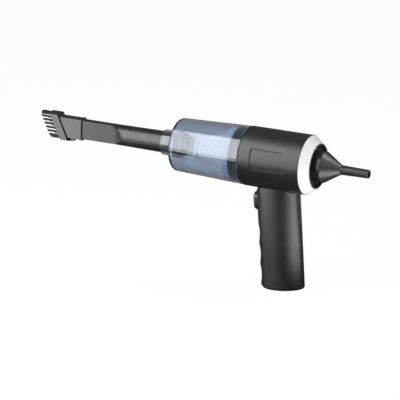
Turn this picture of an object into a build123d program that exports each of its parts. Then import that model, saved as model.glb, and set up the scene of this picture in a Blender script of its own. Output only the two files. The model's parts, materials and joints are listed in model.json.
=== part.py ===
from build123d import *
import os
from math import atan2, cos, degrees, hypot, radians, sin, sqrt, tan

# Cordless handheld vacuum cleaner with a clear dust cup, a brush that slides on the
# crevice nozzle, and a blow nozzle on the exhaust. Millimetres and degrees.
# The handle stands upright on its base at the origin, +Z up. The barrel crosses the top
# of the handle, +X towards the blower end, and its nose is tipped up.
# A station is a distance along the barrel from where the handle's axis crosses it,
# positive towards the blower end. A height is measured square to the barrel.

os.makedirs("parts", exist_ok=True)

# Stance
barrel_tilt = 5.4
axis_height = 127.0

# Clearances
running_gap = 0.04      # a shaft in its bush
push_gap = 0.08         # a push-on joint
seat_gap = 0.2          # a fixed piece in its seat
free_gap = 0.3          # curved faces of pieces that move apart
seam_gap = 0.12         # between the two halves of the housing

# Barrel of the housing
barrel_radius = 29.0
barrel_wall = 2.0
barrel_front_reach = 29.7
barrel_rear_reach = 33.9
barrel_edge = 0.6
front_rib = 2.0
rib_thickness = 1.5
rib_height = 3.0

# Handle of the housing
handle_length = 43.6
handle_width = 30.0
handle_wall = 2.0
base_wall = 1.8
base_round = 2.5
junction_round = 1.2

# Label panel, sunk in the near side and left bare
label_length = 35.5
label_height = 19.0
label_depth = 0.9
label_corner = 2.0
label_edge = 0.4
label_station = 0.9
label_turn = 9.5

# Grip strip
strip_half_width = 8.0
strip_proud = 0.9
strip_pocket = 1.1
strip_bottom = 2.8
strip_crown = 2.3         # above the button
scallop_radius = 45.0
scallop_depth = 0.95
scallop_pitch = 20.4
scallop_first = 14.5
scallop_count = 3

# Power button and switch
button_drop = 41.0        # below the barrel's axis
button_length = 18.6
button_width = 12.0
button_proud = 3.5
button_dome = 3.2
button_travel = 1.0
button_flange = 1.2
button_flange_margin = 0.9
button_flange_width = 8.0
button_flange_corner = 2.6
switch_size = 6.0
switch_depth = 3.5
plunger_radius = 1.6
plunger_length = 2.4
switch_corner = 0.6
stem_radius = 2.0

# Housing screws
screw_head_radius = 2.1
screw_head_height = 1.6
screw_shank_radius = 1.1
screw_length = 12.0
screw_seat = 5.0
boss_radius = 3.4
screw_socket_radius = 1.0
screw_socket_depth = 0.9
screw_pilot_spare = 1.0
foot_screw_inset = 8.2
foot_screw_rise = 5.6
grip_screw_inset = 8.2
grip_screw_drop = 2.0     # below the button
crown_screw_setback = 11.9
crown_boss_gap = 2.22     # above the motor's cradle
belly_screw_setback = 9.4
belly_boss_gap = 3.22     # below it

# Batteries and boards
cell_room = 1.45          # from a cell to the handle's wall
cell_gap = 0.1            # between the cells
cell_headroom = 1.9       # from the cells' tops up to the button
cell_floor = 9.8
cell_button_radius = 3.0
cell_button_height = 0.8
link_thickness = 0.2
link_width = 6.0
link_corner = 1.5
pad_thickness = 1.2
pad_end_margin = 3.8
pad_side_margin = 6.0
pad_corner = 3.5
board_thickness = 1.6
board_width = 18.0
board_length = 22.0
board_inset = 10.4        # behind the handle's front
board_corner = 1.0
chip_height = 1.2
chips = [(-3, 5, 6, 4), (4, 5, 4, 5), (-5, 12, 3, 3), (0, 11, 3, 2)]    # y, rise, width, height
charge_board_length = 18.0
charge_board_width = 20.0
charge_board_thickness = 1.0
socket_width = 9.0
socket_height = 3.2
socket_depth = 7.3
socket_wall = 0.35
socket_tongue = 0.7
socket_back = 1.0
lead_radius = 0.75
lead_bend = 3.0
lead_offset = 3.0
charge_lead_offset = 8.6
lead_clearance = 2.5

# Spigot, its seal and the dust cup
spigot_reach = 11.3
spigot_flange = 1.7
spigot_lip = 1.6
filter_socket_depth = 6.0
filter_socket_margin = 6.1
filter_ledge = 2.5
seal_thickness = 1.5
seal_setback = 3.0
cup_gap = 0.6
cup_length = 76.0
cup_inset = 0.4           # from the barrel's radius
cup_taper = 2.6
cup_wall = 2.2
cup_round = 2.4
cup_mouth_depth = 11.9
neck_reach = 16.0
neck_wall = 1.75
neck_socket_depth = 5.4
duct_reach = 12.4
duct_radius = 9.2
duct_wall = 1.2

# Filter
filter_flange_margin = 0.9
filter_flange_length = 7.7
filter_flange_wall = 1.4
filter_length = 43.0
filter_root_inset = 5.0
filter_tip_radius = 10.6
filter_media = 1.0
pleat_depth = 1.5
pleat_count = 36
filter_cap_length = 2.4
filter_cap_overhang = 0.4
filter_cap_round = 0.6

# Crevice nozzle
tube_radius = 10.7
tube_radius_tip = 10.2
tube_wall = 1.6
tube_taper_end = 174.0
mill_end = 175.0
mill_end_radius = 11.0
mill_run = 10.0
flat_half_width = 4.3
nozzle_mouth = 233.0
mouth_slant = 26.0

# Brush
collar_wall = 1.0
collar_rear = 214.0
collar_front = 234.9
collar_rim = 0.4
collar_rim_width = 1.6
head_length = 8.4
head_radius = 14.1
head_half_width = 7.0
tab_setback = 1.0
tab_length = 10.0
tab_width = 5.0
tab_reach = 2.4
backing_thickness = 1.6
backing_inset = 0.8
strand_thickness = 0.3
strand_pitch = 0.4
strand_length = 12.0
strand_sink = 0.6
tuft_columns = 4
tuft_rows = 5
side_tufts = 6
side_tuft_pitch = 3.6
end_tuft_columns = 8
end_tuft_rows = 6

# Fan
shroud_wall = 1.5
shroud_inlet_radius = 9.0
fan_chamber = 15.5
fan_plate_thickness = 2.0
fan_plate_bore = 5.0
window_count = 8
window_rim = 3.0
window_length = 10.0
window_width = 3.0
impeller_setback = 0.8    # inside the windows
impeller_disc = 1.2
impeller_hub_radius = 4.0
impeller_depth = 10.5
impeller_clearance = 1.6
blade_count = 9
blade_thickness = 0.9
blade_sink = 1.0
blade_bow = 3.6
blade_inset = 1.4

# Motor
motor_radius = 12.2
motor_wall = 0.8
can_length = 29.0
end_cap_length = 3.0
bush_radius = 3.05
bush_length = 3.5
bush_proud = 1.0
motor_shaft_radius = 1.0
shaft_tail = 1.5
magnet_thickness = 2.1
magnet_length = 20.0
magnet_overhang = 1.0
magnet_angle = 120.0
air_gap = 0.9
armature_length = 18.0
armature_setback = 5.5
commutator_radius = 3.2
commutator_length = 4.0
slot_count = 3
slot_width = 2.6
slot_depth = 4.4
terminal_width = 2.4
terminal_thickness = 0.6
terminal_length = 2.0
terminal_height = 7.0
motor_screw_radius = 1.2
motor_screw_head = 2.2
motor_screw_head_height = 1.0
motor_screw_circle = 8.0
motor_screw_length = 4.0
damper_wall = 1.1
damper_length = 8.0
cradle_wall = 1.5
cradle_length = 15.0
cradle_setback = 7.0
fin_thickness = 2.0
fin_count = 3

# Rear ring, exhaust collar and blow nozzle
ring_length = 9.2
ring_fall = 6.5
ring_edge = 0.6
ring_skirt = 6.0
ring_skirt_wall = 1.6
collar_flange = 1.6
collar_lip_proud = 0.6
collar_lip_width = 1.4
collar_lip_round = 0.56
dish_depth = 5.4
outlet_radius = 13.3
outlet_wall = 1.5
outlet_reach = 8.2
funnel_radius = 15.1
funnel_base_length = 11.8
funnel_cone_length = 17.0
funnel_neck_radius = 4.7
funnel_tip_radius = 4.1
funnel_tube_length = 28.5
funnel_bore = 3.1
funnel_spigot_depth = 7.8
funnel_spigot_wall = 1.5
funnel_shoulder = 1.5

# Frame of the barrel
rearward = Vector(cos(radians(barrel_tilt)), 0, -sin(radians(barrel_tilt)))
side = Plane(origin=(0, 0, axis_height), x_dir=rearward, z_dir=(0, -1, 0))
barrel_axis = Axis(side.origin, rearward)


def across(station):
    """The plane square to the barrel at a station: local x is +Y and local y is up."""
    return Plane(origin=side.from_local_coords((station, 0, 0)), x_dir=(0, 1, 0), z_dir=rearward)


def slanted(station):
    """The across plane leaned so that its top lies further forward, as the brush and mouth are."""
    lean = radians(mouth_slant)
    return Plane(
        origin=side.from_local_coords((station, 0, 0)),
        x_dir=(0, 1, 0),
        z_dir=rearward * cos(lean) + side.y_dir * sin(lean),
    )


def off_axis(point):
    """How far a point is from the barrel axis."""
    place = side.to_local_coords(point)
    return hypot(place.Y, place.Z)


def turned(*points):
    """A face of (station, radius) points, to be turned about the barrel axis."""
    with BuildSketch(side) as profile:
        with BuildLine():
            Polyline(*points, close=True)
        make_face()
    return profile.sketch


def flat_sided(radius, half_width, plane):
    """A circle with a flat on each side, taller than it is wide."""
    with BuildSketch(plane) as section:
        Circle(radius)
        Rectangle(2 * half_width, 2 * radius, mode=Mode.INTERSECT)
    return section.sketch


def save(builder, label):
    builder.part.label = label
    export_step(builder.part, f"parts/{label}.step")


# Stations of the barrel, from front to rear
barrel_front = -barrel_front_reach
barrel_rear = barrel_rear_reach
barrel_bore = barrel_radius - barrel_wall
fitted_radius = barrel_bore - seat_gap

front_rib_rear = barrel_front + front_rib
spigot_flange_front = front_rib_rear + seat_gap / 2
spigot_flange_rear = spigot_flange_front + spigot_flange
second_rib_front = spigot_flange_rear + seat_gap / 2
shroud_front = second_rib_front + rib_thickness + seat_gap / 2
fan_plate_front = shroud_front + shroud_wall + fan_chamber
fan_plate_rear = fan_plate_front + fan_plate_thickness
motor_front = fan_plate_rear
third_rib_front = fan_plate_rear + seat_gap / 2
can_rear = motor_front + can_length
motor_rear = can_rear + end_cap_length
spigot_front = barrel_front - spigot_reach
cup_radius_rear = barrel_radius - cup_inset
cup_radius_front = cup_radius_rear - cup_taper
spigot_radius = cup_radius_rear - cup_wall - free_gap
filter_socket_radius = spigot_radius - filter_socket_margin
inlet_radius = filter_socket_radius - filter_ledge
filter_flange_radius = spigot_radius - filter_flange_margin
filter_root_radius = filter_flange_radius - filter_root_inset
window_radius = fitted_radius - window_rim - window_width / 2
impeller_radius = window_radius - window_width / 2 - impeller_setback
armature_radius = motor_radius - motor_wall - magnet_thickness - air_gap
damper_radius = motor_radius + running_gap + damper_wall
sleeve_bore = damper_radius + running_gap
cradle_radius = sleeve_bore + cradle_wall
ring_rear_radius = barrel_radius - ring_fall
collar_flange_radius = fitted_radius - ring_skirt_wall - seat_gap

# Envelope of the housing, before it is hollowed
handle_half_length = handle_length / 2
handle_half_width = handle_width / 2
button_height = axis_height - button_drop
strip_top = button_height + button_length / 2 + strip_crown
cell_radius = (handle_half_length - handle_wall - cell_room - cell_gap / 2) / 2
cell_spacing = 2 * cell_radius + cell_gap
cell_length = button_height - button_length / 2 - cell_headroom - cell_floor

with BuildPart() as envelope:
    with BuildSketch(Plane.XY):
        Ellipse(handle_half_length, handle_half_width)
    extrude(amount=axis_height)
    fillet(envelope.faces().sort_by(Axis.Z)[0].edges(), base_round)
    revolve(
        turned(
            (barrel_front, 0),
            (barrel_front, barrel_radius - barrel_edge),
            (barrel_front + barrel_edge, barrel_radius),
            (barrel_rear, barrel_radius),
            (barrel_rear, 0),
        ),
        axis=barrel_axis,
    )
    fillet(edges(Select.NEW).filter_by(GeomType.BSPLINE), junction_round)

# Screw places in the XZ plane: two in the foot of the handle, one behind the button, two
# in the barrel beside the motor
foot_screw_x = handle_half_length - foot_screw_inset
grip_screw_x = handle_half_length - grip_screw_inset
grip_screw_rise = button_height - grip_screw_drop
crown_height = cradle_radius + boss_radius + crown_boss_gap
belly_height = -cradle_radius - boss_radius - belly_boss_gap
crown_screw = side.from_local_coords((barrel_rear - crown_screw_setback, crown_height, 0))
belly_screw = side.from_local_coords((barrel_rear - belly_screw_setback, belly_height, 0))
screw_places = [
    (-foot_screw_x, foot_screw_rise),
    (foot_screw_x, foot_screw_rise),
    (grip_screw_x, grip_screw_rise),
    (crown_screw.X, crown_screw.Z),
    (belly_screw.X, belly_screw.Z),
]

with BuildPart() as bosses:
    with BuildSketch(Plane.XZ):
        with Locations(*screw_places):
            Circle(boss_radius)
    extrude(amount=barrel_radius, both=True)
    add(envelope.part, mode=Mode.INTERSECT)

with BuildPart() as label_recess:
    with BuildSketch(side):
        with Locations((label_station, 0)):
            RectangleRounded(label_length, label_height, label_corner)
    extrude(amount=barrel_radius + label_depth)
    with BuildSketch(across(barrel_front)):
        Circle(barrel_radius - label_depth)
    extrude(amount=barrel_rear - barrel_front, mode=Mode.SUBTRACT)

with BuildPart() as strip_pocket_cut:
    with BuildSketch(Plane.XY.offset(strip_bottom - seat_gap / 2)):
        Ellipse(handle_half_length + strip_proud, handle_half_width + strip_proud)
        Ellipse(handle_half_length - strip_pocket, handle_half_width - strip_pocket, mode=Mode.SUBTRACT)
        Rectangle(
            handle_length,
            2 * strip_half_width + seat_gap,
            align=(Align.MAX, Align.CENTER),
            mode=Mode.INTERSECT,
        )
    extrude(amount=strip_top - strip_bottom + seat_gap)

with BuildPart() as button_hole:
    with BuildSketch(Plane.YZ):
        with Locations((0, button_height)):
            SlotOverall(button_length + 2 * free_gap, button_width + 2 * free_gap, rotation=90)
    extrude(amount=-handle_length)

# Housing, whole, then split into its two halves
with BuildPart() as housing:
    add(envelope.part)
    with BuildSketch(across(barrel_front)):
        Circle(barrel_bore)
    extrude(amount=barrel_rear - barrel_front, mode=Mode.SUBTRACT)
    with BuildSketch(Plane.XY.offset(base_wall)):
        Ellipse(handle_half_length - handle_wall, handle_half_width - handle_wall)
    extrude(amount=axis_height - base_wall, mode=Mode.SUBTRACT)
    revolve(
        turned(
            (barrel_front, spigot_radius + seat_gap / 2),
            (barrel_front, barrel_bore + barrel_wall / 2),
            (front_rib_rear, barrel_bore + barrel_wall / 2),
            (front_rib_rear, spigot_radius + seat_gap / 2),
        ),
        axis=barrel_axis,
    )
    for rib_front in (second_rib_front, third_rib_front):
        revolve(
            turned(
                (rib_front, barrel_bore - rib_height),
                (rib_front, barrel_bore + barrel_wall / 2),
                (rib_front + rib_thickness, barrel_bore + barrel_wall / 2),
                (rib_front + rib_thickness, barrel_bore - rib_height),
            ),
            axis=barrel_axis,
        )
    add(bosses.part)
    add(label_recess.part.rotate(barrel_axis, -label_turn), mode=Mode.SUBTRACT)
    label_rim = edges(Select.LAST).filter_by(lambda e: off_axis(e @ 0.5) > barrel_radius - label_depth / 4)
    fillet(label_rim, label_edge)
    add(strip_pocket_cut.part, mode=Mode.SUBTRACT)
    add(button_hole.part, mode=Mode.SUBTRACT)
    with BuildSketch(Plane.XY):
        SlotOverall(socket_width + 2 * seat_gap, socket_height + 2 * seat_gap, rotation=90)
    extrude(amount=base_wall, mode=Mode.SUBTRACT)

with BuildPart() as shell_left:
    add(housing.part)
    split(bisect_by=Plane.XZ.offset(seam_gap / 2), keep=Keep.TOP)
    with BuildSketch(Plane.XZ):
        with Locations(*screw_places):
            Circle(screw_shank_radius + running_gap)
    extrude(amount=screw_length - screw_seat + screw_pilot_spare, mode=Mode.SUBTRACT)
save(shell_left, "shell_left")

with BuildPart() as shell_right:
    add(housing.part)
    split(bisect_by=Plane.XZ.offset(-seam_gap / 2), keep=Keep.BOTTOM)
    with BuildSketch(Plane.XZ):
        with Locations(*screw_places):
            Circle(screw_shank_radius + seat_gap)
    extrude(amount=-barrel_radius, mode=Mode.SUBTRACT)
    with BuildSketch(Plane.XZ.offset(-screw_seat)):
        with Locations(*screw_places):
            Circle(screw_head_radius + seat_gap)
    extrude(amount=-barrel_radius, mode=Mode.SUBTRACT)
save(shell_right, "shell_right")

with BuildPart() as shell_screws:
    with BuildSketch(Plane.XZ.offset(-screw_seat)):
        with Locations(*screw_places):
            Circle(screw_shank_radius)
    extrude(amount=screw_length)
    with BuildSketch(Plane.XZ.offset(-screw_seat)):
        with Locations(*screw_places):
            Circle(screw_head_radius)
    extrude(amount=-screw_head_height)
    with BuildSketch(Plane.XZ.offset(-screw_seat - screw_head_height)):
        with Locations(*screw_places):
            RegularPolygon(screw_socket_radius, 6)
    extrude(amount=screw_socket_depth, mode=Mode.SUBTRACT)
save(shell_screws, "shell_screws")

# Grip strip, let into the front of the handle. Its finger hollows are turned about the
# axis of the circle that fits the front of the handle across the strip.
strip_fall = handle_half_length * (1 - sqrt(1 - (strip_half_width / handle_half_width) ** 2))
strip_bend = (strip_half_width**2 + strip_fall**2) / (2 * strip_fall)
strip_axis = Axis((strip_bend - handle_half_length, 0, 0), (0, 0, 1))
scallop_x = -handle_half_length - strip_proud + scallop_depth - scallop_radius

with BuildPart() as grip_strip:
    with BuildSketch(Plane.XY.offset(strip_bottom)):
        Ellipse(handle_half_length + strip_proud, handle_half_width + strip_proud)
        Ellipse(
            handle_half_length - strip_pocket + seat_gap / 2,
            handle_half_width - strip_pocket + seat_gap / 2,
            mode=Mode.SUBTRACT,
        )
        Rectangle(
            handle_length, 2 * strip_half_width, align=(Align.MAX, Align.CENTER), mode=Mode.INTERSECT
        )
    extrude(amount=strip_top - strip_bottom)
    with BuildSketch(Plane.XZ):
        for number in range(scallop_count):
            with Locations((scallop_x, scallop_first + number * scallop_pitch)):
                Circle(scallop_radius)
    revolve(axis=strip_axis, mode=Mode.SUBTRACT)
    add(button_hole.part, mode=Mode.SUBTRACT)
save(grip_strip, "grip_strip")

# Power button: a domed oval on a flange behind the wall, with a stem to the switch
button_face = -handle_half_length - strip_proud - button_proud
wall_slope = sqrt(1 - (button_flange_width / 2 / (handle_half_width - handle_wall)) ** 2)
flange_front = push_gap - (handle_half_length - handle_wall) * wall_slope
board_front = board_inset - handle_half_length
switch_front = board_front - switch_depth
plunger_tip = switch_front - button_travel - free_gap

with BuildPart() as power_button:
    with BuildSketch(Plane.YZ.offset(button_face)):
        with Locations((0, button_height)):
            SlotOverall(button_length, button_width, rotation=90)
    extrude(amount=flange_front - button_face)
    fillet(power_button.faces().sort_by(Axis.X)[0].edges(), button_dome)
    with BuildSketch(Plane.YZ.offset(flange_front)):
        with Locations((0, button_height)):
            RectangleRounded(
                button_flange_width, button_length + 2 * button_flange_margin, button_flange_corner
            )
    extrude(amount=button_flange)
    with BuildSketch(Plane.YZ.offset(flange_front + button_flange)):
        with Locations((0, button_height)):
            Circle(stem_radius)
    extrude(amount=plunger_tip - flange_front - button_flange)
save(power_button, "power_button")

with BuildPart() as switch_plunger:
    with BuildSketch(Plane.YZ.offset(plunger_tip)):
        with Locations((0, button_height)):
            Circle(plunger_radius)
    extrude(amount=plunger_length)
save(switch_plunger, "switch_plunger")

with BuildPart() as switch_housing:
    with BuildSketch(Plane.YZ.offset(switch_front)):
        with Locations((0, button_height)):
            RectangleRounded(switch_size, switch_size, switch_corner)
            Circle(plunger_radius + running_gap, mode=Mode.SUBTRACT)
    extrude(amount=switch_depth)
save(switch_housing, "switch_housing")

# Battery cells, side by side in the handle
cell_top = cell_floor + cell_length
pad_top = cell_top + pad_thickness

for cell_name, cell_side in (("battery_cell_front", -1), ("battery_cell_rear", 1)):
    with BuildPart() as battery_cell:
        with BuildSketch(Plane.XY.offset(cell_floor)):
            with Locations((cell_side * cell_spacing / 2, 0)):
                Circle(cell_radius)
        extrude(amount=cell_length - cell_button_height)
        chamfer(battery_cell.edges().filter_by(GeomType.CIRCLE), cell_button_height / 2)
        with BuildSketch(Plane.XY.offset(cell_top - cell_button_height)):
            with Locations((cell_side * cell_spacing / 2, 0)):
                Circle(cell_button_radius)
        extrude(amount=cell_button_height)
    save(battery_cell, cell_name)

with BuildPart() as cell_link:
    with BuildSketch(Plane.XY.offset(cell_floor - link_thickness)):
        RectangleRounded(cell_spacing + link_width, link_width, link_corner)
    extrude(amount=link_thickness)
save(cell_link, "cell_link")

with BuildPart() as battery_pad:
    with BuildSketch(Plane.XY.offset(cell_top)):
        RectangleRounded(
            handle_length - 2 * (handle_wall + pad_end_margin),
            handle_width - 2 * (handle_wall + pad_side_margin),
            pad_corner,
        )
    extrude(amount=pad_thickness)
save(battery_pad, "battery_pad")

# Control board, standing on the pad behind the button
board_top = pad_top + board_length

with BuildPart() as control_board:
    with BuildSketch(Plane.YZ.offset(board_front)):
        with Locations((0, pad_top + board_length / 2)):
            RectangleRounded(board_width, board_length, board_corner)
    extrude(amount=board_thickness)
    with BuildSketch(Plane.YZ.offset(board_front + board_thickness)):
        for chip_y, chip_rise, chip_width, chip_length in chips:
            with Locations((chip_y, pad_top + chip_rise)):
                Rectangle(chip_width, chip_length)
    extrude(amount=chip_height)
save(control_board, "control_board")

# Charging board and its socket in the base
charge_board_top = cell_floor - link_thickness - seat_gap
charge_board_bottom = charge_board_top - charge_board_thickness
socket_mouth = charge_board_bottom - socket_depth

with BuildPart() as charge_board:
    with BuildSketch(Plane.XY.offset(charge_board_bottom)):
        RectangleRounded(charge_board_length, charge_board_width, board_corner)
    extrude(amount=charge_board_thickness)
save(charge_board, "charge_board")

with BuildPart() as charge_socket:
    with BuildSketch(Plane.XY.offset(socket_mouth)):
        SlotOverall(socket_width, socket_height, rotation=90)
        SlotOverall(
            socket_width - 2 * socket_wall,
            socket_height - 2 * socket_wall,
            rotation=90,
            mode=Mode.SUBTRACT,
        )
    extrude(amount=socket_depth)
    with BuildSketch(Plane.XY.offset(charge_board_bottom)):
        SlotOverall(socket_width, socket_height, rotation=90)
    extrude(amount=-socket_back)
    with BuildSketch(Plane.XY.offset(charge_board_bottom)):
        Rectangle(socket_tongue, socket_width - socket_height)
    extrude(amount=socket_back - socket_depth)
save(charge_socket, "charge_socket")

board_back = board_front + board_thickness
with BuildPart() as charge_lead:
    with BuildLine():
        charge_route = FilletPolyline(
            (0, charge_lead_offset, charge_board_top),
            (0, charge_lead_offset, board_top - 2 * lead_bend),
            (board_back, charge_lead_offset, board_top - 2 * lead_bend),
            radius=lead_bend,
        )
    with BuildSketch(Plane(origin=charge_route @ 0, z_dir=charge_route % 0)):
        Circle(lead_radius)
    sweep()
save(charge_lead, "charge_lead")

# Spigot ring that carries the cup, the seal and the filter
seal_front = spigot_front + seal_setback
seal_groove = seal_thickness + seat_gap
groove_radius = spigot_radius + free_gap - running_gap - seal_thickness - running_gap
filter_seat = spigot_front + filter_socket_depth

with BuildPart() as cup_spigot:
    revolve(
        turned(
            (spigot_front, filter_socket_radius),
            (spigot_front, spigot_radius),
            (seal_front, spigot_radius),
            (seal_front, groove_radius),
            (seal_front + seal_groove, groove_radius),
            (seal_front + seal_groove, spigot_radius),
            (spigot_flange_front, spigot_radius),
            (spigot_flange_front, fitted_radius),
            (spigot_flange_rear, fitted_radius),
            (spigot_flange_rear, filter_socket_radius + spigot_lip),
            (filter_seat + spigot_lip, filter_socket_radius + spigot_lip),
            (filter_seat + spigot_lip, inlet_radius),
            (filter_seat, inlet_radius),
            (filter_seat, filter_socket_radius),
        ),
        axis=barrel_axis,
    )
save(cup_spigot, "cup_spigot")

with BuildPart() as cup_seal:
    with BuildSketch(side):
        with Locations((seal_front + seal_groove / 2, groove_radius + running_gap + seal_thickness / 2)):
            Circle(seal_thickness / 2)
    revolve(axis=barrel_axis)
save(cup_seal, "cup_seal")

# Dust cup with its neck in front and its duct inside
cup_rear = barrel_front - cup_gap
cup_front = cup_rear - cup_length
cup_bore = spigot_radius + free_gap
cup_draft = (cup_radius_rear - cup_radius_front) / cup_length
mouth_end = cup_rear - cup_mouth_depth
mouth_end_radius = cup_radius_rear - cup_mouth_depth * cup_draft - cup_wall
neck_bore = tube_radius + push_gap
neck_radius = neck_bore + neck_wall
neck_front = cup_front - neck_reach
tube_stop = cup_front + neck_socket_depth
duct_rear = cup_front + duct_reach
cup_inner_front = cup_front + cup_wall

with BuildPart() as dust_cup:
    revolve(
        turned(
            (cup_rear, cup_bore),
            (cup_rear, cup_radius_rear),
            (cup_front, cup_radius_front),
            (cup_front, neck_radius),
            (neck_front, neck_radius),
            (neck_front, neck_bore),
            (tube_stop, neck_bore),
            (tube_stop, duct_radius - duct_wall),
            (duct_rear, duct_radius - duct_wall),
            (duct_rear, duct_radius),
            (tube_stop + duct_wall, duct_radius),
            (tube_stop, neck_radius),
            (cup_inner_front, neck_radius),
            (cup_inner_front, cup_radius_front + cup_wall * cup_draft - cup_wall),
            (mouth_end, mouth_end_radius),
            (mouth_end, cup_bore),
        ),
        axis=barrel_axis,
    )
    rim_edges = dust_cup.edges().filter_by(GeomType.CIRCLE)
    front_edges = rim_edges.filter_by(lambda e: abs(e.radius - cup_radius_front) < 0.01)
    fillet(front_edges.sort_by(barrel_axis)[0], cup_round)
save(dust_cup, "dust_cup")

# Filter: flange with a skirt that plugs into the spigot, pleated cone and end cap
filter_flange_front = spigot_front - filter_flange_length
filter_front = spigot_front - filter_length
skirt_radius = filter_socket_radius - seat_gap
skirt_rear = filter_seat - seat_gap

with BuildPart() as filter_flange:
    revolve(
        turned(
            (skirt_rear, skirt_radius - filter_flange_wall),
            (skirt_rear, skirt_radius),
            (spigot_front, skirt_radius),
            (spigot_front, filter_flange_radius),
            (filter_flange_front, filter_flange_radius),
            (filter_flange_front, filter_root_radius - pleat_depth - filter_media),
            (filter_flange_front + filter_flange_wall, filter_root_radius - pleat_depth - filter_media),
            (filter_flange_front + filter_flange_wall, filter_flange_radius - filter_flange_wall),
            (spigot_front - filter_flange_wall, filter_flange_radius - filter_flange_wall),
            (spigot_front - filter_flange_wall, skirt_radius - filter_flange_wall),
        ),
        axis=barrel_axis,
    )
save(filter_flange, "filter_flange")


def pleated(radius, plane):
    """A star of pleats whose crests lie on the radius."""
    corners = []
    for number in range(2 * pleat_count):
        reach = radius - pleat_depth * (number % 2)
        turn = radians(180 * number / pleat_count)
        corners.append((reach * cos(turn), reach * sin(turn)))
    with BuildSketch(plane) as star:
        with BuildLine():
            Polyline(*corners, close=True)
        make_face()
    return star.sketch


media_front = filter_front + filter_cap_length
with BuildPart() as filter_pleats:
    loft([pleated(filter_tip_radius, across(media_front)),
          pleated(filter_root_radius, across(filter_flange_front))], ruled=True)
    revolve(
        turned(
            (media_front, 0),
            (media_front, filter_tip_radius - pleat_depth - filter_media),
            (filter_flange_front, filter_root_radius - pleat_depth - filter_media),
            (filter_flange_front, 0),
        ),
        axis=barrel_axis,
        mode=Mode.SUBTRACT,
    )
save(filter_pleats, "filter_pleats")

with BuildPart() as filter_cap:
    with BuildSketch(across(filter_front)):
        Circle(filter_tip_radius + filter_cap_overhang)
    extrude(amount=filter_cap_length)
    fillet(filter_cap.edges().filter_by(GeomType.CIRCLE), filter_cap_round)
save(filter_cap, "filter_cap")

# Crevice nozzle: a tapered tube milled flat on both sides towards its mouth. The flats end
# in a cone that runs out of the tube's side.
tube_rear = tube_stop - free_gap
mill_centre = -mill_end - mill_end_radius
mill_angle = degrees(atan2(mill_run, tube_radius - flat_half_width))
tube_front = -nozzle_mouth - tube_radius


def milled_tube(inset, front, rear):
    """The tube's outline, inset by a wall, with both its sides milled flat."""
    cut_radius = mill_end_radius + inset
    with BuildPart() as cutter:
        with BuildSketch(side.offset(flat_half_width - inset)):
            with Locations((mill_centre, 0)):
                Circle(cut_radius)
                Rectangle(mill_centre - front, 2 * cut_radius, align=(Align.MAX, Align.CENTER))
        extrude(amount=tube_radius, taper=-mill_angle)
        mirror(about=Plane.XZ)
    with BuildPart() as bar:
        revolve(
            turned(
                (rear, 0),
                (rear, tube_radius - inset),
                (neck_front, tube_radius - inset),
                (-tube_taper_end, tube_radius_tip - inset),
                (front, tube_radius_tip - inset),
                (front, 0),
            ),
            axis=barrel_axis,
        )
        add(cutter.part, mode=Mode.SUBTRACT)
    return bar.part


with BuildPart() as crevice_nozzle:
    add(milled_tube(0, tube_front, tube_rear))
    add(milled_tube(tube_wall, tube_front - tube_wall, tube_rear + tube_wall), mode=Mode.SUBTRACT)
    split(bisect_by=slanted(-nozzle_mouth), keep=Keep.TOP)
save(crevice_nozzle, "crevice_nozzle")

# Brush collar on the flat of the nozzle
passage_radius = tube_radius_tip + free_gap / 2
passage_half_width = flat_half_width + free_gap / 2
sleeve_radius = passage_radius + collar_wall
sleeve_half_width = passage_half_width + collar_wall
head_front = collar_front + head_length
slant_rise = tan(radians(mouth_slant))
brush_blank = head_front - collar_rear + head_radius * slant_rise + collar_wall

with BuildPart() as brush_sleeve:
    extrude(
        flat_sided(sleeve_radius + collar_rim, sleeve_half_width + collar_rim, across(-collar_rear)),
        amount=-collar_rim_width,
    )
    extrude(flat_sided(sleeve_radius, sleeve_half_width, across(-collar_rear)), amount=-brush_blank)
    split(bisect_by=slanted(-collar_front), keep=Keep.TOP)

with BuildPart() as brush_head:
    extrude(flat_sided(head_radius, head_half_width, across(-collar_rear)), amount=-brush_blank)
    split(bisect_by=slanted(-collar_front), keep=Keep.BOTTOM)
    split(bisect_by=slanted(-head_front), keep=Keep.TOP)

with BuildPart() as thumb_tab:
    with BuildSketch(side):
        with Locations((-collar_front + tab_length / 2 + tab_setback, -sleeve_radius)):
            RectangleRounded(tab_length, 2 * tab_reach, tab_reach / 2)
    extrude(amount=tab_width / 2, both=True)

with BuildPart() as backing_space:
    extrude(
        flat_sided(head_radius - backing_inset, head_half_width - backing_inset, across(-collar_rear)),
        amount=-brush_blank,
    )
    split(bisect_by=slanted(-head_front + backing_thickness), keep=Keep.BOTTOM)

with BuildPart() as brush_collar:
    add(brush_sleeve.part)
    add(brush_head.part)
    add(thumb_tab.part)
    extrude(
        flat_sided(passage_radius, passage_half_width, across(collar_wall - collar_rear)),
        amount=-brush_blank - collar_wall,
        mode=Mode.SUBTRACT,
    )
    add(backing_space.part, mode=Mode.SUBTRACT)
save(brush_collar, "brush_collar")


def tuft_grid(columns, rows, middle_height, middle_width):
    """Strand places of one tuft, as (height, width) pairs."""
    places = []
    for row in range(rows):
        for column in range(columns):
            height = middle_height + (row - (rows - 1) / 2) * strand_pitch
            width = middle_width + (column - (columns - 1) / 2) * strand_pitch
            places.append((height, width))
    return places


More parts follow.
